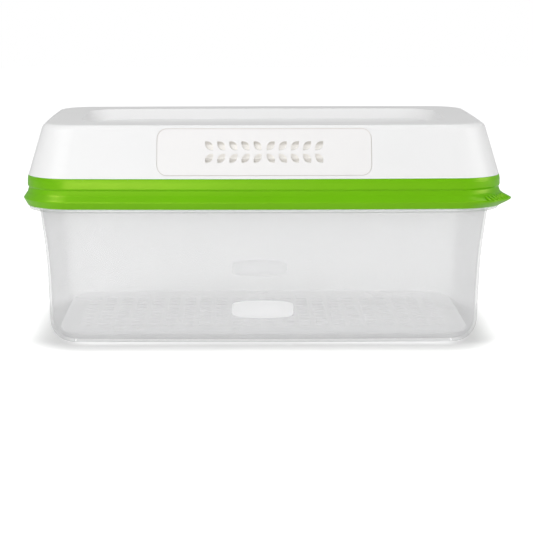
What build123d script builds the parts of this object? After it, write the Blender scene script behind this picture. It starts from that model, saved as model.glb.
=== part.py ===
from build123d import *
import os
from math import radians, sqrt, tan

# Produce keeper, in millimetres: a clear tub with a crisper tray, and a domed
# lid with a soft green skirt, a vent cover, a filter sheet and its frame.
# The origin is the middle of the tub's base. X runs along the length, the
# front is -Y and Z is up. An offset u is measured outward from the tub's
# outer wall where it meets the flange.

# Tub
tub_length = 313.0
tub_width = 168.0
tub_corner = 24.0
side_radius = 4000.0
end_radius = 2400.0
waist_height = 60.0
waist_taper = 4.3
waist_corner = 22.0
base_taper = 6.0
base_corner = 20.0
base_round = 17.0
wall = 2.0
floor_thickness = 2.5
flange_height = 95.8
flange_reach = 7.0
flange_thickness = 2.4
rim_rise = 6.6
foot_height = 0.7
foot_clear_length = 206.0
foot_clear_width = 84.0
foot_clear_depth = 22.0

# Crisper tray
tray_height = 8.0
tray_thickness = 2.0
tray_clearance = 4.5
slot_length = 8.0
slot_width = 5.0
slot_pitch_x = 12.0
slot_pitch_y = 10.4
slot_columns = 22
slot_rows = 11
leg_columns = 4
leg_rows = 2
rib_depth = 3.0
rib_width = 1.4

# Skirt of the lid
seat_gap = 0.3
seal_thickness = 2.6
seal_inset = 2.5
seal_leg_length = 4.8
seal_leg_width = 1.8
skirt_wall = 1.4
skirt_cover = 11.5
skirt_top_reach = 7.4
bead_reach = 7.9
groove_reach = 7.4
lip_reach = 10.8
lip_wall = 3.0
tab_shift = 7.5
tab_reach = 8.7
tab_angle = 76.0
tab_thickness = 2.6
tab_rib_count = 7
tab_rib_pitch = 8.5
tab_rib_height = 0.8

# Dome of the lid
joint_gap = 0.1
dome_flange_thickness = 2.0
dome_flange_inset = 3.0
dome_wall = 2.0
dome_reach = 7.1
dome_rise = 35.0
end_lean = 16.5
side_lean = 21.0
dome_top_corner = 25.0
dome_top_round = 5.0
recess_inset = 25.0
recess_depth = 7.0
recess_slope = 6.0
recess_corner = 24.0

# Vent in the dome's front
vent_length = 144.9
vent_height = 30.1
vent_lift = 2.5
vent_corner = 6.5
vent_gap = 0.4
vent_wall = 2.0
ledge_wall = 2.0
ledge_margin = 4.0
window_margin = 5.5
frame_drop = 3.0
leaf_width = 5.4
leaf_height = 5.8
leaf_round = 4.1
leaf_pitch = 8.2
leaf_columns = 5
leaf_row_gap = 8.2
leaf_middle_gap = 8.9
cover_rib_width = 1.5
filter_thickness = 0.6
frame_wall = 2.0
frame_margin = 2.0
frame_bars = 4
frame_bar_width = 3.0

# Heights and sizes that follow from the values above
flange_top = flange_height + flange_thickness
rim_top = flange_top + rim_rise
seal_bottom = rim_top + seat_gap
seal_top = seal_bottom + seal_thickness
dome_base = seal_top + joint_gap
skirt_top = dome_base + skirt_cover
dome_top = skirt_top + dome_rise
skirt_bottom = flange_top + seat_gap
ledge_inset = vent_wall + seat_gap
filter_inset = ledge_inset + ledge_wall + joint_gap
frame_inset = filter_inset + filter_thickness + joint_gap
vent_middle = skirt_top + vent_lift + vent_height / 2


def drop(radius, half):
    """How far an arc of a radius falls back over half its span."""
    return radius - sqrt(radius ** 2 - half ** 2)


def outline(length, width, corner, z):
    """Bowed rectangle: four shallow side arcs joined by four corner arcs."""
    x, y = length / 2, width / 2
    for _ in range(3):
        x, y = length / 2 - drop(end_radius, y), width / 2 - drop(side_radius, x)
    ends = [(x, y), (-x, y), (-x, -y), (x, -y)]
    middles = [(0, width / 2), (-length / 2, 0), (0, -width / 2), (length / 2, 0)]
    sides = [ThreePointArc(ends[i], middles[i], ends[(i + 1) % 4]) for i in range(4)]
    face = make_face(sides)
    return Pos(0, 0, z) * fillet(face.vertices(), corner)


def tub_outline(u, z):
    """The tub's outline at the flange, moved outward by u."""
    return outline(tub_length + 2 * u, tub_width + 2 * u, tub_corner + u, z)


def ring(outer_u, inner_u, bottom, height):
    """Upright band around the tub between two offsets."""
    band = tub_outline(outer_u, bottom) - tub_outline(inner_u, bottom)
    return extrude(band, height)


def tub_form(inset, bottom, base_fillet):
    """Tapered body of the tub, drawn in by a wall, with a rounded base."""
    base = outline(tub_length - 2 * (base_taper + inset), tub_width - 2 * (base_taper + inset),
                   base_corner - inset, bottom)
    waist = outline(tub_length - 2 * (waist_taper + inset), tub_width - 2 * (waist_taper + inset),
                    waist_corner - inset, waist_height)
    top = tub_outline(-inset, flange_height)
    body = loft([base, waist, top], ruled=True)
    return fillet(body.faces().sort_by(Axis.Z)[0].edges(), base_fillet)


def make_tub():
    """Thin tapered box with a rounded base, a wide flange and an upright rim."""
    body = tub_form(0, 0, base_round)
    body += extrude(tub_outline(0, flange_height), rim_top - flange_height)
    flange = extrude(tub_outline(flange_reach, flange_height), flange_thickness)
    levels = flange.edges().group_by(Axis.Z)
    body += fillet(levels[0] + levels[-1], 0.45 * flange_thickness)
    hollow = tub_form(wall, floor_thickness, base_round - wall)
    hollow += extrude(tub_outline(-wall, flange_height), rim_top)
    tub = body - hollow
    tub = fillet(tub.faces().sort_by(Axis.Z)[-1].edges(), 0.4 * wall)
    base_x = tub_length / 2 - base_taper
    base_y = tub_width / 2 - base_taper
    for side in (-1, 1):
        tub -= Pos(0, side * base_y, 0) * Box(foot_clear_length, 2 * foot_clear_depth, 2 * foot_height)
        tub -= Pos(side * base_x, 0, 0) * Box(2 * foot_clear_depth, foot_clear_width, 2 * foot_height)
    return tub


def make_tray():
    """Flat grille of short slots on stiffening ribs and eight legs."""
    inside = base_taper + wall + tray_clearance
    plate = extrude(outline(tub_length - 2 * inside, tub_width - 2 * inside,
                            base_corner - wall / 2 - seat_gap, tray_height), tray_thickness)
    slots = [(slot_pitch_x * (i - (slot_columns - 1) / 2), slot_pitch_y * (j - (slot_rows - 1) / 2))
             for i in range(slot_columns) for j in range(slot_rows)]
    cut = Sketch() + [Pos(x, y, tray_height) * Rectangle(slot_length, slot_width) for x, y in slots]
    plate -= extrude(cut, tray_thickness)
    rib_length = slot_pitch_x * slot_columns
    rib_bottom = tray_height - rib_depth
    for j in range(1, slot_rows, 3):
        y = slot_pitch_y * (j - slot_rows / 2)
        plate += Pos(0, y, rib_bottom + rib_depth / 2) * Box(rib_length, rib_width, rib_depth)
    leg_x = slot_pitch_x - slot_length
    leg_y = slot_pitch_y - slot_width
    leg_height = tray_height - floor_thickness - seat_gap
    for i in range(leg_columns):
        for j in range(leg_rows):
            x = slot_pitch_x * round((slot_columns - 4) * (i / (leg_columns - 1) - 0.5))
            y = slot_pitch_y * ((slot_rows // 2 - 1) * (2 * j - 1) + 0.5 * (2 * j - 1))
            plate += Pos(x, y, tray_height - leg_height / 2) * Box(leg_x, leg_y, leg_height)
    return plate


def skirt_path():
    """Closed outline that the skirt's section follows, and its start plane."""
    path = tub_outline(0, 0).face().outer_wire()
    start, along = path @ 0, path % 0
    outward = along.cross(Vector(0, 0, 1))
    if outward.dot(start) < 0:
        outward = -outward
    return path, Plane(origin=start, x_dir=outward, z_dir=outward.cross(Vector(0, 0, 1)))


def make_skirt():
    """Soft ring: upper band, bead, groove, flared lip and a sealing leg on the rim."""
    inner = skirt_top_reach - skirt_wall
    lip_z = skirt_bottom + 5.8
    groove_z = lip_z + 6.0
    bead_z = groove_z + 4.0
    leg_foot = seal_bottom - seal_leg_length
    leg_in = seat_gap + joint_gap
    leg_out = leg_in + seal_leg_width
    inside = Polyline((skirt_top_reach, skirt_top), (inner, skirt_top), (inner, seal_top),
                      (-seal_inset, seal_top), (-seal_inset, seal_bottom), (leg_in, seal_bottom),
                      (leg_in, leg_foot), (leg_out, leg_foot), (leg_out, seal_bottom),
                      (inner, seal_bottom), (groove_reach - 1.9, skirt_bottom),
                      (groove_reach + 0.3, skirt_bottom))
    lip = Line((groove_reach + 0.3, skirt_bottom), (lip_reach - 0.2, lip_z - 0.8))
    tip = ThreePointArc((lip_reach - 0.2, lip_z - 0.8), (lip_reach, lip_z), (lip_reach - 0.7, lip_z + 0.8))
    hollow = ThreePointArc((lip_reach - 0.7, lip_z + 0.8), (groove_reach + 0.9, groove_z - 2.2),
                           (groove_reach, groove_z))
    bead = ThreePointArc((groove_reach, groove_z), (bead_reach, bead_z), (skirt_top_reach, skirt_top))
    path, plane = skirt_path()
    skirt = sweep(plane * make_face([*inside.edges(), lip, tip, hollow, bead]), path=path)
    return skirt + make_tab(lip_z)


def make_tab(lip_z):
    """Lift tab on the front right corner: a fan-shaped flare with grip ribs."""
    shift = tab_shift / 2 ** 0.5
    x = tub_length / 2 - tub_corner + shift
    y = tub_corner - tub_width / 2 - shift
    near = tub_corner + groove_reach - tab_shift
    far = tub_corner + tab_reach
    section = make_face(Polyline((near, lip_z - 2.0), (far - 2.0, lip_z - tab_thickness),
                                 (far, lip_z - tab_thickness / 2), (far - 0.6, lip_z),
                                 (near, lip_z + 4.5), close=True))
    tab = revolve(Plane.XZ * section, Axis.Z, tab_angle)
    tab = Rot(0, 0, -45 - tab_angle / 2) * tab
    for i in range(tab_rib_count):
        turn = -45 + tab_rib_pitch * (i - (tab_rib_count - 1) / 2)
        rib = Pos(far - 4.0, 0, lip_z + 0.5) * Box(5.0, 1.3, 2 * tab_rib_height)
        tab += Rot(0, 0, turn) * rib
    return Pos(x, y, 0) * tab


def dome_outline(inset, z):
    """Level section of the leaning dome, drawn in by an inset."""
    climb = z - skirt_top
    length = tub_length + 2 * (dome_reach - inset - climb * tan(radians(end_lean)))
    width = tub_width + 2 * (dome_reach - inset - climb * tan(radians(side_lean)))
    low_corner = tub_corner + dome_reach
    corner = low_corner + (dome_top_corner - low_corner) * climb / dome_rise - inset
    return outline(length, width, corner, z)


def dome_form(inset, top):
    """Solid inside the dome's leaning walls, drawn in by an inset, up to a height."""
    return loft([dome_outline(inset, skirt_top), dome_outline(inset, top)], ruled=True)


def crown_form():
    """Outer form of the dome with its rounded top edge."""
    crown = dome_form(0, dome_top)
    return fillet(crown.faces().sort_by(Axis.Z)[-1].edges(), dome_top_round)


def recess_form(grow):
    """Sloped dish cut in the top for stacking, grown outward by a wall."""
    top_length = dome_outline(0, dome_top).bounding_box().size.X - 2 * (recess_inset - grow)
    top_width = dome_outline(0, dome_top).bounding_box().size.Y - 2 * (recess_inset - grow)
    floor = outline(top_length - 2 * recess_slope, top_width - 2 * recess_slope,
                    recess_corner - recess_slope + grow, dome_top - recess_depth - grow)
    brim = outline(top_length, top_width, recess_corner + grow, dome_top - grow)
    dish = loft([floor, brim], ruled=True)
    return dish + extrude(brim, recess_depth + grow)


def vent_prism(margin, corner, drop=0):
    """Bar with a rounded rectangular section through the dome's front, along Y."""
    section = RectangleRounded(vent_length + 2 * margin, vent_height + 2 * margin - drop, corner)
    depth = tub_width / 2
    return extrude(Pos(0, -depth / 2, vent_middle - drop / 2) * Rot(90, 0, 0) * section, depth)


def vent_band(outer, inner, margin, drop=0):
    """Curved plate between two insets of the dome, as large as the vent and a margin."""
    skin = crown_form() if outer == 0 else dome_form(outer, dome_top - joint_gap)
    plate = skin - dome_form(inner, dome_top + wall)
    return plate & vent_prism(margin, vent_corner + max(margin, 1 - vent_corner), drop)


def make_dome():
    """White dome with a base flange, a stacking recess and a ledge for the vent."""
    hollow = dome_form(dome_wall, dome_top - dome_wall) - recess_form(dome_wall)
    crown = crown_form() - recess_form(0) - hollow
    reach = skirt_top_reach - skirt_wall - joint_gap
    foot_wall = ring(reach, reach - dome_wall, dome_base, skirt_cover + dome_wall)
    foot_wall += ring(reach, -dome_flange_inset, dome_base, dome_flange_thickness)
    foot_wall -= dome_band_above(reach)
    crown += foot_wall
    crown += vent_band(1.0, filter_inset - joint_gap, ledge_margin)
    crown -= vent_prism(vent_gap, vent_corner + vent_gap) - dome_form(ledge_inset, dome_top + wall)
    crown -= vent_prism(-window_margin, 2.0)
    return crown


def dome_band_above(reach):
    """What lies outside the dome above the skirt, so the foot wall ends under it."""
    block = ring(reach + dome_wall, reach - dome_wall, skirt_top, 2 * dome_wall)
    return block - dome_form(0, dome_top)


def leaf(flip):
    """Leaf-shaped hole: a rectangle with two opposite corners rounded."""
    shape = Rectangle(leaf_width, leaf_height)
    corners = [v for v in shape.vertices() if (v.X * v.Y > 0) == (flip > 0)]
    return fillet(corners, leaf_round)


def make_vent_cover():
    """Curved plate with rounded corners, two rows of leaf holes and a rib behind."""
    cover = vent_band(0, vent_wall, 0)
    rib = vent_band(vent_wall - joint_gap, ledge_inset + ledge_wall, -window_margin - vent_gap)
    rib -= vent_prism(-window_margin - vent_gap - cover_rib_width, 1.0)
    cover += rib
    depth = tub_width / 2
    for side in (-1, 1):
        for row in (-1, 1):
            for column in range(leaf_columns):
                x = side * (leaf_middle_gap / 2 + leaf_pitch * column)
                z = vent_middle + row * leaf_row_gap / 2
                place = Pos(x, -depth / 2, z) * Rot(90, 0, 0)
                cover -= extrude(place * leaf(-side * row), depth)
    return cover


def make_filter():
    """Thin sheet that lets the tub breathe, on the inside of the ledge."""
    return vent_band(filter_inset, filter_inset + filter_thickness, frame_margin - 1.0, frame_drop)


def make_vent_frame():
    """Frame with upright bars that holds the sheet against the ledge."""
    frame = vent_band(frame_inset, frame_inset + frame_wall, frame_margin, frame_drop)
    window = vent_prism(-window_margin, 2.0)
    clear_length = vent_length - 2 * window_margin
    for i in range(frame_bars):
        x = clear_length * ((i + 1) / (frame_bars + 1) - 0.5)
        bar = Box(frame_bar_width, tub_width, vent_height)
        window -= Pos(x, -tub_width / 2, vent_middle) * bar
    return frame - window


makers = {
    "tub": make_tub,
    "crisp_tray": make_tray,
    "lid_skirt": make_skirt,
    "lid_dome": make_dome,
    "vent_cover": make_vent_cover,
    "vent_filter": make_filter,
    "vent_frame": make_vent_frame,
}
for name, make in makers.items():
    export_step(make(), f"parts/{name}.step")
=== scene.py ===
from math import pi, radians

import bpy
import numpy as np
from bpy.props import FloatProperty, FloatVectorProperty, PointerProperty
from bpy.types import Operator, Panel, PropertyGroup
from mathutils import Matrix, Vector


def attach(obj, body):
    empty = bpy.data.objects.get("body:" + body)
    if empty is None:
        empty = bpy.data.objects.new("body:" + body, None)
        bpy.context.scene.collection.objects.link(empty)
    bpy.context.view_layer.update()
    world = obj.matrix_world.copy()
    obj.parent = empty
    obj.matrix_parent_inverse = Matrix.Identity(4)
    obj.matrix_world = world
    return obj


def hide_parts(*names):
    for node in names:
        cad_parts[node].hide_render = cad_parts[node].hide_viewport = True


bl_info = {
    "name": "Produce Keeper",
    "version": (1, 0, 0),
    "blender": (4, 5, 0),
    "location": "View3D > Sidebar > Keeper",
    "description": "Dresses a vented produce keeper and sets its studio",
    "category": "Add Mesh",
}

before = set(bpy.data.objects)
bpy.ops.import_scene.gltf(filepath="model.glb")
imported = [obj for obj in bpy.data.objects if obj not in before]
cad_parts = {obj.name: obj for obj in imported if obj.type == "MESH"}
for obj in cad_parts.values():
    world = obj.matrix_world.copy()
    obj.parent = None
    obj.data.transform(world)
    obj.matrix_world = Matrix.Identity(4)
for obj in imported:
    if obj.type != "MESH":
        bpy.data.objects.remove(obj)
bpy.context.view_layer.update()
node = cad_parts

mm = 0.001

# Tub, in millimetres. An offset or reach is measured outward from its wall at the flange
half_length, half_width, corner = 156.5, 84.0, 24.0
side_radius, end_radius = 4000.0, 2400.0
wall, waist_height, waist_taper, base_taper = 2.0, 60.0, 4.3, 6.0
floor_top, flange_low, flange_high, rim_high = 2.5, 95.8, 98.2, 104.8

# Lid and its vent, in millimetres
skirt_low, seal_low, seal_high, skirt_high = 98.5, 105.1, 107.7, 119.3
dome_reach, side_lean = 7.1, radians(21.0)
vent_low, vent_high, vent_half, vent_corner = 121.8, 151.9, 72.45, 6.5

# Lamps: name, place and side in metres, and the setting that holds the power
lamps = (("key_lamp", (-0.85, -0.75, 0.95), 0.7, "key_power"),
         ("front_lamp", (-0.32, -1.32, 0.14), 0.45, "front_power"),
         ("fill_lamp", (1.3, -0.4, 0.6), 0.8, "fill_power"),
         ("top_lamp", (0.0, 0.3, 1.4), 1.0, "top_power"))
lamps_aim = (0.0, 0.0, 0.08)


# Settings that the sidebar shows

def colour_property(name, description, default):
    """A colour that the sidebar shows as a swatch."""
    return FloatVectorProperty(name=name, description=description, default=default,
                               subtype="COLOR", size=3, min=0.0, max=1.0)


class KeeperStage(PropertyGroup):
    """Camera, lamps and floor."""
    camera_place: FloatVectorProperty(name="Camera place", description="Where the camera stands",
                                      default=(-0.0176, -1.2035, 0.2634), subtype="TRANSLATION",
                                      unit="LENGTH")
    camera_pitch: FloatProperty(name="Camera pitch", description="How far the camera looks down",
                                default=radians(10.39), subtype="ANGLE")
    camera_roll: FloatProperty(name="Camera roll", description="How far the camera leans over",
                               default=radians(0.12), subtype="ANGLE")
    lens: FloatProperty(name="Lens", description="Focal length on a 36 mm sensor",
                        default=112.25, min=10.0)
    shift: FloatProperty(name="Shift", description="Sideways shift of the frame", default=0.0538)
    key_power: FloatProperty(name="Key power", description="Power of the soft lamp high at the left",
                             default=6.6, min=0.0, unit="POWER")
    front_power: FloatProperty(name="Front power", description="Power of the low lamp in front",
                               default=4.6, min=0.0, unit="POWER")
    fill_power: FloatProperty(name="Fill power", description="Power of the lamp at the right",
                              default=7.0, min=0.0, unit="POWER")
    top_power: FloatProperty(name="Top power", description="Power of the lamp overhead",
                             default=4.0, min=0.0, unit="POWER")
    sky: FloatProperty(name="Sky", description="Strength of the surrounding light",
                       default=0.35, min=0.0)
    floor_colour: colour_property("Floor colour", "Colour of the floor", (0.86, 0.86, 0.86))
    floor_glow: FloatProperty(name="Floor glow", description="Light that the floor adds in the picture",
                              default=0.72, min=0.0)


class KeeperTub(PropertyGroup):
    """Clear tub, the tray inside it and the bare plaques on its walls."""
    tint: colour_property("Tint", "Colour of the tub's clear plastic", (0.72, 0.72, 0.73))
    cover: FloatProperty(name="Cover", description="How much one face of the tub's wall hides",
                         default=0.26, min=0.0, max=1.0)
    rim_cover: FloatProperty(name="Rim cover", description="Extra cover where the wall is seen edge on",
                             default=0.35, min=0.0, max=1.0)
    # Painted light: the tub's plastic glows by itself, standing in for light that the lid keeps from
    # its inside
    glow: FloatProperty(name="Glow", description="Light scattered inside the tub's plastic",
                        default=0.04, min=0.0)
    tray_tint: colour_property("Tray tint", "Colour of the tray", (0.72, 0.72, 0.73))
    tray_cover: FloatProperty(name="Tray cover", description="How much one face of the tray hides",
                              default=0.3, min=0.0, max=1.0)
    # Painted light: the tray glows by itself, brighter than the shade under the lid lets it be
    tray_painted_glow: FloatProperty(name="Tray glow", description="Light scattered inside the tray's plastic",
                             default=0.42, min=0.0)
    frost: colour_property("Frost", "Colour of the plaques", (0.93, 0.93, 0.94))


class KeeperLid(PropertyGroup):
    """White dome, green skirt and vent."""
    white: colour_property("White", "Colour of the dome", (0.89, 0.89, 0.89))
    warm_white: colour_property("Warm white", "Colour of the vent cover", (0.90, 0.89, 0.885))
    green: colour_property("Green", "Colour of the skirt", (0.145, 0.50, 0.0005))
    # Painted shade: colour of the tan strip in the gap round the vent cover, for the gap's shadow line
    gap_shade: colour_property("Gap shade", "Colour of the vent cover's seal", (0.80, 0.75, 0.71))
    filter_colour: colour_property("Filter colour", "Colour of the filter sheet", (0.82, 0.80, 0.76))


# Materials, as sums of nodes

class Term:
    """One output in a material, so that sums on terms and numbers add their Math nodes."""

    def __init__(self, finish, socket):
        self.finish = finish
        self.socket = socket

    def __add__(self, other):
        return self.finish.math("ADD", self, other)

    def __radd__(self, other):
        return self.finish.math("ADD", other, self)

    def __sub__(self, other):
        return self.finish.math("SUBTRACT", self, other)

    def __mul__(self, other):
        return self.finish.math("MULTIPLY", self, other)

    def __rmul__(self, other):
        return self.finish.math("MULTIPLY", other, self)

    def __pow__(self, other):
        return self.finish.math("POWER", self, other)


class Finish:
    """One material: its surface shader and the nodes that feed it."""

    def __init__(self, name, **constants):
        self.material = bpy.data.materials.new(name)
        self.material.use_nodes = True
        self.tree = self.material.node_tree
        self.surface = self.tree.nodes["Principled BSDF"]
        for socket, value in constants.items():
            self.surface.inputs[socket.replace("_", " ")].default_value = value

    def add(self, kind, settings=None, sockets=None, output=0):
        """A node with its settings, then the values or links of its sockets."""
        made = self.tree.nodes.new(kind)
        for key, value in (settings or {}).items():
            setattr(made, key, value)
        for key, value in (sockets or {}).items():
            self.feed(made.inputs[key], value)
        return Term(self, made.outputs[output])

    def feed(self, socket, value):
        """Links an output to a socket, or sets the socket's own value."""
        if isinstance(value, Term):
            self.tree.links.new(value.socket, socket)
        elif socket.type == "RGBA" and len(value) == 3:
            socket.default_value = (*value, 1.0)
        else:
            socket.default_value = value

    def set(self, **links):
        """Feeds the surface shader."""
        for name, value in links.items():
            self.feed(self.surface.inputs[name.replace("_", " ")], value)

    def math(self, operation, first, second=0.0):
        """One Math node on terms or numbers."""
        return self.add("ShaderNodeMath", {"operation": operation}, {0: first, 1: second})

    def place(self):
        """Object coordinates."""
        return self.add("ShaderNodeTexCoord", output="Object")

    def along(self, axis):
        """One of the object coordinates."""
        return self.add("ShaderNodeSeparateXYZ", None, {"Vector": self.place()}, output=axis)

    def noise(self, scale, detail=2.0):
        """Cloudy pattern on object coordinates, in cycles per metre."""
        return self.add("ShaderNodeTexNoise", None,
                        {"Vector": self.place(), "Scale": scale, "Detail": detail})

    def fade(self, value, start, end, first, last):
        """Smooth change from first, where the value is at start, to last at its end."""
        return self.add("ShaderNodeMapRange", {"interpolation_type": "SMOOTHSTEP"},
                        {"Value": value, "From Min": start, "From Max": end,
                         "To Min": first, "To Max": last})

    def mix(self, factor, first, second):
        """Blend of two colours."""
        return self.add("ShaderNodeMix", {"data_type": "RGBA"},
                        {"Factor": factor, 6: first, 7: second}, output=2)

    def bump(self, height, strength, distance):
        """Fine relief from a height pattern."""
        return self.add("ShaderNodeBump", None,
                        {"Height": height, "Strength": strength, "Distance": distance})


# Outlines, profiles and meshes

def keeper_outline(side_steps=24, corner_steps=16):
    """Points and outward normals round the tub at its flange.

    The outline is eight tangent arcs: two long sides, two ends and four corners. Each corner's
    centre is where its circle touches a side arc and an end arc from inside, and each pass of the
    first loop brings it closer.
    """
    side_centre, end_centre = half_width - side_radius, half_length - end_radius
    x, y = half_length - corner, half_width - corner
    passes = 6
    for _ in range(passes):
        y = side_centre + np.sqrt((side_radius - corner) ** 2 - x ** 2)
        x = end_centre + np.sqrt((end_radius - corner) ** 2 - y ** 2)
    first, second = np.arctan2(y, x - end_centre), np.arctan2(y - side_centre, x)
    arcs = [(end_centre, 0, end_radius, -first, first, side_steps),
            (x, y, corner, first, second, corner_steps),
            (0, side_centre, side_radius, second, pi - second, 2 * side_steps),
            (-x, y, corner, pi - second, pi - first, corner_steps),
            (-end_centre, 0, end_radius, pi - first, pi + first, side_steps),
            (-x, -y, corner, pi + first, pi + second, corner_steps),
            (0, -side_centre, side_radius, pi + second, 2 * pi - second, 2 * side_steps),
            (x, -y, corner, 2 * pi - second, 2 * pi - first, corner_steps)]
    points, normals = [], []
    for centre_x, centre_y, radius, start, end, steps in arcs:
        turn = np.linspace(start, end, steps, endpoint=False)
        normal = np.stack([np.cos(turn), np.sin(turn)], 1)
        points.append(np.array([centre_x, centre_y]) + radius * normal)
        normals.append(normal)
    return np.concatenate(points), np.concatenate(normals)


def rounded(corners, closed=False, steps=7):
    """Profile through corners (offset, height, radius), each corner turned by an arc of its radius."""
    given = np.array(corners, float)
    count = len(given)
    line = []
    for i, (offset, height, radius) in enumerate(given):
        here = np.array([offset, height])
        if not closed and i in (0, count - 1):
            line.append(here[None])
            continue
        back = given[i - 1, :2] - here
        ahead = given[(i + 1) % count, :2] - here
        back, ahead = back / np.linalg.norm(back), ahead / np.linalg.norm(ahead)
        half = 0.5 * np.arccos(np.clip(back @ ahead, -1, 1))
        middle = (back + ahead) / np.linalg.norm(back + ahead)
        centre = here + middle * radius / np.sin(half)
        start = here + back * radius / np.tan(half) - centre
        end = here + ahead * radius / np.tan(half) - centre
        span = pi - 2 * half
        part = np.linspace(0, 1, steps)[:, None]
        arc = np.sin((1 - part) * span) * start + np.sin(part * span) * end
        line.append(centre + arc / np.sin(span))
    return np.concatenate(line)


def refined(line, longest, closed=False):
    """The same profile with its long runs divided."""
    ends = np.roll(line, -1, 0) if closed else line[1:]
    parts = []
    for start, end in zip(line, ends):
        steps = max(1, int(np.ceil(np.linalg.norm(end - start) / longest)))
        parts.append(start + (end - start) * np.arange(steps)[:, None] / steps)
    if not closed:
        parts.append(line[-1:])
    return np.concatenate(parts)


def smoothstep(low, high, value):
    """0 below low, 1 above high and a smooth curve between."""
    part = np.clip((value - low) / (high - low), 0, 1)
    return part * part * (3 - 2 * part)


def carried(profile, outline, reach=0.0):
    """Grid of a profile carried round an outline, each point moved out by its offset and reach."""
    points, normals = outline
    offset = profile[:, 0, None] + reach
    flat = points[None] + offset[..., None] * normals[None]
    height = np.broadcast_to(profile[:, 1, None], flat.shape[:2])
    return np.concatenate([flat, height[..., None]], 2)


def mesh_piece(name, points, faces, smooth=True):
    """New object from points in millimetres and faces."""
    mesh = bpy.data.meshes.new(name)
    mesh.from_pydata((points * mm).tolist(), [], faces)
    mesh.validate()
    if smooth:
        mesh.shade_smooth()
    piece = bpy.data.objects.new(name, mesh)
    bpy.context.scene.collection.objects.link(piece)
    return piece


def grid_piece(name, rows, wrap_rows=False, poles=False, smooth=True):
    """Solid from a grid of points whose columns run round it.

    With poles, the first and last rows close on their middles. The faces are turned over where
    the solid's signed volume comes out negative.
    """
    height, width = rows.shape[:2]
    points = rows.reshape(-1, 3)
    row = np.arange(height if wrap_rows else height - 1)[:, None]
    column = np.arange(width)[None]
    low, high = row * width, (row + 1) % height * width
    quads = np.stack([low + column, low + (column + 1) % width,
                      high + (column + 1) % width, high + column], 2).reshape(-1, 4)
    faces = quads.tolist()
    if poles:
        ends = np.stack([rows[0].mean(0), rows[-1].mean(0)])
        start = len(points)
        points = np.concatenate([points, ends])
        turn = np.arange(width)
        after = (turn + 1) % width
        last = (height - 1) * width
        faces += np.stack([np.full(width, start), after, turn], 1).tolist()
        faces += np.stack([np.full(width, start + 1), last + turn, last + after], 1).tolist()
    corners = points[quads]
    flux = np.einsum("ij,ij->i", corners[:, 0], np.cross(corners[:, 1], corners[:, 2]))
    flux += np.einsum("ij,ij->i", corners[:, 0], np.cross(corners[:, 2], corners[:, 3]))
    if flux.sum() < 0:
        faces = [face[::-1] for face in faces]
    return mesh_piece(name, points, faces, smooth)


def joined(name, pieces):
    """One object from several, its mesh in place."""
    with bpy.context.temp_override(active_object=pieces[0], selected_editable_objects=pieces):
        bpy.ops.object.join()
    pieces[0].name = pieces[0].data.name = name
    return pieces[0]


# Pieces, and how they ride on the frame

def finish_piece(piece, finish, body, slot, *nodes):
    """Puts a finish on a new piece, hangs it on its body and hides the CAD nodes that it stands for."""
    piece.data.materials.append(finish.material)
    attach(piece, body)
    if nodes:
        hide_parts(*nodes)


def dress(name, finish):
    """Gives a carried-over CAD node its finish."""
    mesh = node[name].data
    mesh.materials.clear()
    mesh.materials.append(finish.material)


def bowed(distance):
    """How far the long side's arc falls back at a distance from its middle."""
    return side_radius - np.sqrt(side_radius ** 2 - distance ** 2)


def front_of(x, z, inset):
    """Y of the dome's front at a place, moved in by an inset: the long side's arc, leaning back."""
    return -(half_width + dome_reach - inset - (z - skirt_high) * np.tan(side_lean) - bowed(x))


def tub_piece():
    """Clear tub: one closed profile carried round, with its base relieved between the feet."""
    base_middle, base_round, inner_round, waist_round = -23.4, 16.9, 14.9, 330
    flange_reach, flange_blend, longest_run = 7, 4, 6.0
    profile = rounded([
        (base_middle, 0, 0), (-base_taper, 0, base_round), (-waist_taper, waist_height, waist_round),
        (0, flange_low, 0.5), (flange_reach, flange_low, 1.0), (flange_reach, flange_high, 1.0),
        (0, flange_high, 0.5), (0, rim_high, 0.8), (-wall, rim_high, 0.8),
        (-wall, flange_low - flange_blend, 8), (-waist_taper - wall, waist_height, waist_round),
        (-base_taper - wall, floor_top, inner_round), (base_middle, floor_top, 0)])
    rows = carried(refined(profile, longest_run), keeper_outline())

    # The tub stands on its corners. Between them a relief fades in across a side and out along it
    foot_height, outer_rows = 0.7, 20
    side_across, side_along = (54, 57), (99, 105)
    end_across, end_along = (126, 129), (39, 44)
    x, y = np.abs(rows[..., 0]), np.abs(rows[..., 1])
    between = np.maximum((1 - smoothstep(*side_along, x)) * smoothstep(*side_across, y),
                         (1 - smoothstep(*end_along, y)) * smoothstep(*end_across, x))
    outside = np.arange(rows.shape[0])[:, None] < outer_rows
    lifted = np.maximum(rows[..., 2], foot_height * between)
    rows[..., 2] = np.where(outside, lifted, rows[..., 2])
    return grid_piece("clear_tub", rows, poles=True)


def plaque_piece(name, side):
    """Bare frosted plaque: a rounded bar with bowed long edges, slightly proud of the long wall.

    The side is -1 at the front and 1 at the back.
    """
    half_x, half_z, middle, shift = 21.2, 6.5, 27.0, 0.9
    squareness, bow, depth, steps = 0.28, 0.25, 0.35, 96
    turn = np.linspace(0, 2 * pi, steps, endpoint=False)
    edge_x = np.sign(np.cos(turn)) * np.abs(np.cos(turn)) ** squareness * half_x
    edge_z = np.sign(np.sin(turn)) * np.abs(np.sin(turn)) ** squareness * half_z
    edge_z = edge_z * (1.0 - bow * (edge_x / half_x) ** 2)
    rings = []
    for scale, proud in ((0.02, 1.0), (0.5, 1.0), (0.9, 1.0), (0.97, 0.8), (1.0, 0.2), (1.0, -0.6)):
        x, z = scale * edge_x, middle + scale * edge_z
        taper = base_taper - (base_taper - waist_taper) * z / waist_height
        face = half_width - taper - bowed(x) + depth * proud
        rings.append(np.stack([-side * x - shift, side * face, z], 1))
    return grid_piece(name, np.array(rings), poles=True)


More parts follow.
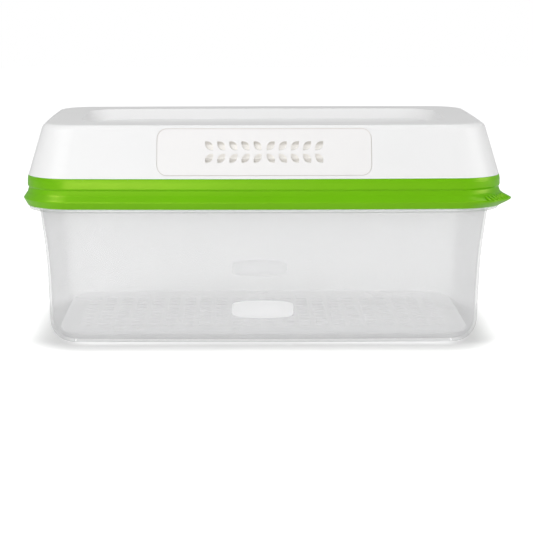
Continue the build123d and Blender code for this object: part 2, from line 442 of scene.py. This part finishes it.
def skirt_piece():
    """Soft skirt: one closed profile carried round, whose lip runs out into a lift tab."""
    top_reach, inside, seal_inside, lip_reach = 7.2, 6.0, -2.5, 10.8
    leg_inside, leg_outside, leg_low, crease_height = 0.45, 2.2, 100.3, 110.5
    arc_steps, longest_run = 6, 1.2
    profile = refined(rounded([
        (top_reach, skirt_high, 0.5), (inside, skirt_high, 0.2), (inside, seal_high, 0.3),
        (seal_inside, seal_high, 0.5), (seal_inside, seal_low, 0.5), (leg_inside, seal_low, 0.15),
        (leg_inside, leg_low, 0.2), (leg_outside, leg_low, 0.4), (leg_outside, seal_low, 0.3),
        (inside, seal_low, 0.4), (5.6, skirt_low, 0.4), (8.0, skirt_low, 0.5), (lip_reach, 103.6, 1.1),
        (7.9, 107.6, 4.0), (7.0, 110.9, 0.35), (7.8, 112.2, 0.9), (7.7, 116.4, 3.0)],
        closed=True, steps=arc_steps), longest_run, closed=True)

    # The tab swells and fades between these turns round the corner, in degrees
    tab_reach, tab_rise = 7.2, 0.6
    tab_swells, tab_fades = (-86, -52), (-30, 4)
    outline = keeper_outline(corner_steps=44)
    normals = outline[1]
    turn = np.degrees(np.arctan2(normals[:, 1], normals[:, 0]))
    swell = smoothstep(*tab_swells, turn) * (1 - smoothstep(*tab_fades, turn))
    lip = smoothstep(top_reach, lip_reach, profile[:, 0]) * (profile[:, 1] < crease_height)
    tab = lip[:, None] * swell[None]
    rows = carried(profile, outline, tab_reach * tab)
    rows[..., 2] += tab_rise * tab
    return grid_piece("soft_skirt", rows, wrap_rows=True)


def grip_ribs():
    """Grip ribs on the lift tab: small rounded bars along its flare, side by side."""
    tab_turn, pitch, each_side = -45, 5.0, 3
    start, length, high, fall, thickness = 9.5, 6.4, 107.5, 2.6, 0.95
    fall_power, blunt_power, tip = 0.7, 0.4, 0.02
    rings, sides = 9, 8
    centre_x, centre_y = half_length - corner, corner - half_width
    along = np.linspace(0, 1, rings)
    distance = (corner + start + length * along)[:, None]
    height = (high - fall * along ** fall_power)[:, None]
    swell = (thickness * np.sin(pi * np.clip(along, tip, 1 - tip)) ** blunt_power)[:, None]
    around = np.linspace(0, 2 * pi, sides, endpoint=False)[None]
    side, up = swell * np.cos(around), swell * np.sin(around)
    ribs = []
    for turn in np.radians(tab_turn + pitch * np.arange(-each_side, each_side + 1)):
        x = centre_x + distance * np.cos(turn) - side * np.sin(turn)
        y = centre_y + distance * np.sin(turn) + side * np.cos(turn)
        ribs.append(grid_piece("rib", np.stack([x, y, height + up], 2), poles=True))
    return joined("grip_ribs", ribs)


def gap_shade_piece():
    """Painted shade in the gap around the vent cover: a tan strip along a rounded rectangle's outline,
    just under the surface, for the gap's shadow line.
    """
    near, far, top, deep = 0.06, 0.34, 0.3, 0.7
    corner_points, longest_run = 9, 4.0
    middle = (vent_low + vent_high) / 2
    half_z = (vent_high - vent_low) / 2
    turn = np.linspace(0, pi / 2, corner_points)
    path = []
    for quarter, (x_sign, z_sign) in enumerate(((1, 1), (-1, 1), (-1, -1), (1, -1))):
        angle = turn + quarter * pi / 2
        path += list(zip(x_sign * (vent_half - vent_corner) + vent_corner * np.cos(angle),
                         z_sign * (half_z - vent_corner) + vent_corner * np.sin(angle),
                         np.cos(angle), np.sin(angle)))
    x, z, across, up = refined(np.array(path), longest_run, closed=True).T
    rings = []
    for offset, inset in ((near, top), (far, top), (far, deep), (near, deep)):
        place_x, place_z = x + offset * across, middle + z + offset * up
        rings.append(np.stack([place_x, front_of(place_x, place_z, inset), place_z], 1))
    return grid_piece("vent_seal", np.array(rings).transpose(1, 0, 2), wrap_rows=True, smooth=False)


def filter_piece():
    """Filter sheet: flat at its edge behind the ledge, dished forward close to the leaves."""
    columns, rows, past_edge, top_gap, thickness = 90, 40, 0.5, 2.8, 0.4
    edge_inset, dish_depth, dish_edge, dish_middle = 4.7, 2.5, 8.2, 11.0
    x, z = np.meshgrid(np.linspace(-vent_half - past_edge, vent_half + past_edge, columns),
                       np.linspace(vent_low - past_edge, vent_high - top_gap, rows))
    edge = np.minimum(vent_half - np.abs(x), np.minimum(z - vent_low, vent_high - z))
    inset = edge_inset - dish_depth * smoothstep(dish_edge, dish_middle, edge)
    points = np.stack([x, front_of(x, z, inset), z], 2).reshape(-1, 3)
    row, column = np.arange(rows - 1)[:, None], np.arange(columns - 1)[None]
    first = row * columns + column
    faces = np.stack([first, first + 1, first + columns + 1, first + columns], 2)
    piece = mesh_piece("filter_sheet", points, faces.reshape(-1, 4).tolist())
    thick = piece.modifiers.new("thickness", "SOLIDIFY")
    thick.thickness = thickness * mm
    thick.offset = -1.0
    return piece


# Finishes

def shaded(colour, level):
    """The colour at a share of its brightness."""
    return tuple(level * channel for channel in colour)


def moulded_finish(name, colour, grain, darkest, drift_scale, roughness, smear_scale, grain_scale,
                   **constants):
    """Satin moulded surface with a faint drift of tone, smears of sheen and a fine grain.

    The constants are set on the surface shader.
    """
    roughness_range, grain_detail, grain_depth = 0.1, 1.0, 0.04 * mm
    finish = Finish(name, **constants)
    finish.set(Base_Color=finish.mix(finish.noise(drift_scale), shaded(colour, darkest), colour),
               Roughness=roughness + roughness_range * finish.noise(smear_scale),
               Normal=finish.bump(finish.noise(grain_scale, grain_detail), grain, grain_depth))
    return finish


def white_finish(name, colour, grain):
    """White moulded plastic."""
    return moulded_finish(name, colour, grain, darkest=0.97, drift_scale=14.0, roughness=0.34,
                          smear_scale=60.0, grain_scale=2600.0, Specular_IOR_Level=0.4)


def rubber_finish(name, colour):
    """Soft green rubber, whose sheen is tinted too."""
    return moulded_finish(name, colour, grain=0.2, darkest=0.9, drift_scale=22.0, roughness=0.3,
                          smear_scale=80.0, grain_scale=3000.0, Specular_IOR_Level=0.9,
                          Specular_Tint=(1.0, 1.0, 0.2, 1.0))


def clear_finish(name, colour, cover, rim_cover, glow):
    """Frosted clear plastic: a veil that thickens where it is seen edge on.

    The glow is painted light: the plastic shines by itself, standing in for the light that the frosted
    plastic scatters inside itself and that the opaque lid keeps from the inside.
    """
    edge_blend, edge_power, cloud, cloud_scale = 0.35, 3.0, 0.02, 30.0
    darkest, drift_scale = 0.97, 9.0
    roughness, roughness_range, smear_scale = 0.16, 0.1, 45.0
    # Painted light: a white glow of the given strength, the same all over the plastic
    finish = Finish(name, Specular_IOR_Level=0.5, Emission_Color=(1.0, 1.0, 1.0, 1.0),
                    Emission_Strength=glow)
    edge = finish.add("ShaderNodeLayerWeight", None, {"Blend": edge_blend}, output="Facing")
    finish.set(Base_Color=finish.mix(finish.noise(drift_scale), shaded(colour, darkest), colour),
               Roughness=roughness + roughness_range * finish.noise(smear_scale),
               Alpha=cover + rim_cover * edge ** edge_power + cloud * finish.noise(cloud_scale))
    return finish


def cloth_finish(name, colour):
    """Thin filter sheet with a felted surface that glows faintly by itself: painted light in the shade
    behind the leaves.
    """
    felt_scale, felt_detail, felt_strength, felt_depth = 900.0, 4.0, 0.5, 0.1 * mm
    darkest = 0.8
    # Painted light: a faint warm glow, lighter than the shade behind the leaves lets the sheet be
    finish = Finish(name, Specular_IOR_Level=0.1, Roughness=0.9,
                    Emission_Color=(0.95, 0.92, 0.88, 1.0), Emission_Strength=0.2)
    felt = finish.noise(felt_scale, felt_detail)
    finish.set(Base_Color=finish.mix(felt, shaded(colour, darkest), colour),
               Normal=finish.bump(felt, felt_strength, felt_depth))
    return finish


def paper_finish(name, colour, glow):
    """Floor that meets the white surround: its own light fades near the tub, for the contact shadow.

    The light is in the picture only, so it doesn't shine on the keeper. It goes by the distance
    from the rounded rectangle that the tub stands on. Its dip round the tub is a painted contact
    shadow over the real one, and its rise under the tub is painted light that stands in for light
    through the clear plastic.
    """
    base_inset = 10.0
    # Painted contact shadow: within shadow_width of the base the floor's light drops to shadow_level
    shadow_width, shadow_level = 36.0 * mm, 0.16
    # Painted light under the tub: the floor's light rises there, for light through the clear plastic
    painted_pool_start, painted_pool_full, painted_pool_level = -2.0 * mm, -12.0 * mm, 0.75
    finish = Finish(name, Specular_IOR_Level=0.0, Roughness=1.0)
    seen = finish.add("ShaderNodeLightPath", output="Is Camera Ray")
    squared = 0.0
    for axis, half in (("X", half_length), ("Y", half_width)):
        straight = (half - base_inset - corner) * mm
        past = finish.math("MAXIMUM", finish.math("ABSOLUTE", finish.along(axis)) - straight)
        squared = past * past + squared
    away = squared ** 0.5 - corner * mm
    light = finish.fade(away, 0.0, shadow_width, shadow_level, 1.0)
    light = light + finish.fade(away, painted_pool_full, painted_pool_start, painted_pool_level, 0.0)
    finish.set(Base_Color=colour,
               Emission_Color=finish.mix(seen * light, (0, 0, 0), (1, 1, 1)),
               Emission_Strength=glow)
    return finish


# Operators, panel and registration

class KEEPER_OT_stage(Operator):
    """Make the camera, the soft lamps, the white surround and the pale floor"""
    bl_idname = "keeper.stage"
    bl_label = "Studio"

    def execute(self, context):
        settings = context.scene.keeper_stage
        self.camera(context, settings)
        self.surround(context, settings)
        self.floor(settings)
        for name, place, size, power in lamps:
            self.lamp(context, name, place, size, getattr(settings, power))
        context.scene.view_settings.view_transform = "Standard"
        return {"FINISHED"}

    def camera(self, context, settings):
        """Camera in front of the keeper, slightly above it."""
        data = bpy.data.cameras.new("camera")
        data.sensor_width = 36.0
        data.lens = settings.lens
        data.shift_x = settings.shift
        data.clip_start = 0.05
        camera = bpy.data.objects.new("camera", data)
        camera.location = settings.camera_place
        camera.rotation_euler = (pi / 2 - settings.camera_pitch, settings.camera_roll, 0.0)
        context.scene.collection.objects.link(camera)
        context.scene.camera = camera

    def lamp(self, context, name, place, size, power):
        """Square lamp turned towards the keeper's middle."""
        data = bpy.data.lights.new(name, "AREA")
        data.shape = "SQUARE"
        data.size = size
        data.energy = power
        lamp = bpy.data.objects.new(name, data)
        lamp.location = place
        towards = Vector(lamps_aim) - Vector(place)
        lamp.rotation_euler = towards.to_track_quat("-Z", "Y").to_euler()
        context.scene.collection.objects.link(lamp)

    def surround(self, context, settings):
        """World that is white where it is seen and gives a soft even light elsewhere."""
        world = bpy.data.worlds.new("surround")
        world.use_nodes = True
        tree = world.node_tree
        back = tree.nodes["Background"]
        back.inputs["Color"].default_value = (1.0, 1.0, 1.0, 1.0)
        path = tree.nodes.new("ShaderNodeLightPath")
        seen = tree.nodes.new("ShaderNodeMath")
        seen.operation = "MAXIMUM"
        tree.links.new(path.outputs["Is Camera Ray"], seen.inputs[0])
        tree.links.new(path.outputs["Is Transmission Ray"], seen.inputs[1])
        level = tree.nodes.new("ShaderNodeMapRange")
        level.inputs["To Min"].default_value = settings.sky
        level.inputs["To Max"].default_value = 1.0
        tree.links.new(seen.outputs[0], level.inputs["Value"])
        tree.links.new(level.outputs["Result"], back.inputs["Strength"])
        context.scene.world = world

    def floor(self, settings):
        """Wide plane under the keeper."""
        half = 3000.0
        corners = np.array([(-half, -half, 0), (half, -half, 0), (half, half, 0), (-half, half, 0)])
        floor = mesh_piece("floor", corners, [(0, 1, 2, 3)], smooth=False)
        paper = paper_finish("floor_paper", settings.floor_colour, settings.floor_glow)
        floor.data.materials.append(paper.material)


class KEEPER_OT_tub(Operator):
    """Give the tub, the tray and the plaques their frosted clear plastic"""
    bl_idname = "keeper.tub"
    bl_label = "Tub and tray"

    def execute(self, context):
        settings = context.scene.keeper_tub
        tray_rim_cover, plaque_cover, plaque_rim_cover = 0.5, 0.4, 0.1
        clear = clear_finish("clear_plastic", settings.tint, settings.cover, settings.rim_cover,
                             settings.glow)
        finish_piece(tub_piece(), clear, "tub", "clear_plastic", "tub")
        dress("crisp_tray", clear_finish("tray_plastic", settings.tray_tint, settings.tray_cover,
                                         tray_rim_cover, settings.tray_painted_glow))
        # Painted light: each plaque glows by itself, the back one more so that it shows pale through
        # the tub
        for name, side, glow in (("front_plaque", -1, 0.2), ("back_plaque", 1, 0.55)):
            frosted = clear_finish(f"{name}_plastic", settings.frost, plaque_cover, plaque_rim_cover,
                                   glow)
            finish_piece(plaque_piece(name, side), frosted, "tub", "clear_plastic")
        return {"FINISHED"}


class KEEPER_OT_lid(Operator):
    """Give the dome, the skirt and the vent their moulded plastic, rubber and felt"""
    bl_idname = "keeper.lid"
    bl_label = "Lid"

    def execute(self, context):
        settings = context.scene.keeper_lid
        plastic_grain, gap_shade_grain = 0.12, 0.05
        white = white_finish("white_plastic", settings.white, plastic_grain)
        dress("lid_dome", white)
        dress("vent_frame", white)
        dress("vent_cover", white_finish("cover_plastic", settings.warm_white, plastic_grain))
        green = rubber_finish("green_rubber", settings.green)
        finish_piece(skirt_piece(), green, "lid", "green_rubber", "lid_skirt")
        finish_piece(grip_ribs(), green, "lid", "green_rubber")
        # Painted shade: a tan strip in the gap round the vent cover stands for the gap's shadow line
        gap_shade = white_finish("seal_rubber", settings.gap_shade, gap_shade_grain)
        finish_piece(gap_shade_piece(), gap_shade, "vent", "cover_plastic")
        felt = cloth_finish("filter_felt", settings.filter_colour)
        finish_piece(filter_piece(), felt, "lid", "filter_sheet", "vent_filter")
        return {"FINISHED"}


class KEEPER_PT_panel(Panel):
    """Lists the keeper's settings and its operators"""
    bl_idname = "KEEPER_PT_panel"
    bl_label = "Produce Keeper"
    bl_space_type = "VIEW_3D"
    bl_region_type = "UI"
    bl_category = "Keeper"

    def draw(self, context):
        for group, operator in (("keeper_stage", "keeper.stage"), ("keeper_tub", "keeper.tub"),
                                ("keeper_lid", "keeper.lid")):
            box = self.layout.box()
            settings = getattr(context.scene, group)
            for name in settings.__annotations__:
                box.prop(settings, name)
            box.operator(operator)


groups = {"keeper_stage": KeeperStage, "keeper_tub": KeeperTub, "keeper_lid": KeeperLid}
classes = (*groups.values(), KEEPER_OT_stage, KEEPER_OT_tub, KEEPER_OT_lid, KEEPER_PT_panel)


def register():
    for made in classes:
        bpy.utils.register_class(made)
    for name, group in groups.items():
        setattr(bpy.types.Scene, name, PointerProperty(type=group))


def unregister():
    for name in groups:
        delattr(bpy.types.Scene, name)
    for made in reversed(classes):
        bpy.utils.unregister_class(made)


def main():
    """Makes the whole scene."""
    register()
    bpy.ops.keeper.stage()
    bpy.ops.keeper.tub()
    bpy.ops.keeper.lid()


if __name__ == "__main__":
    main()
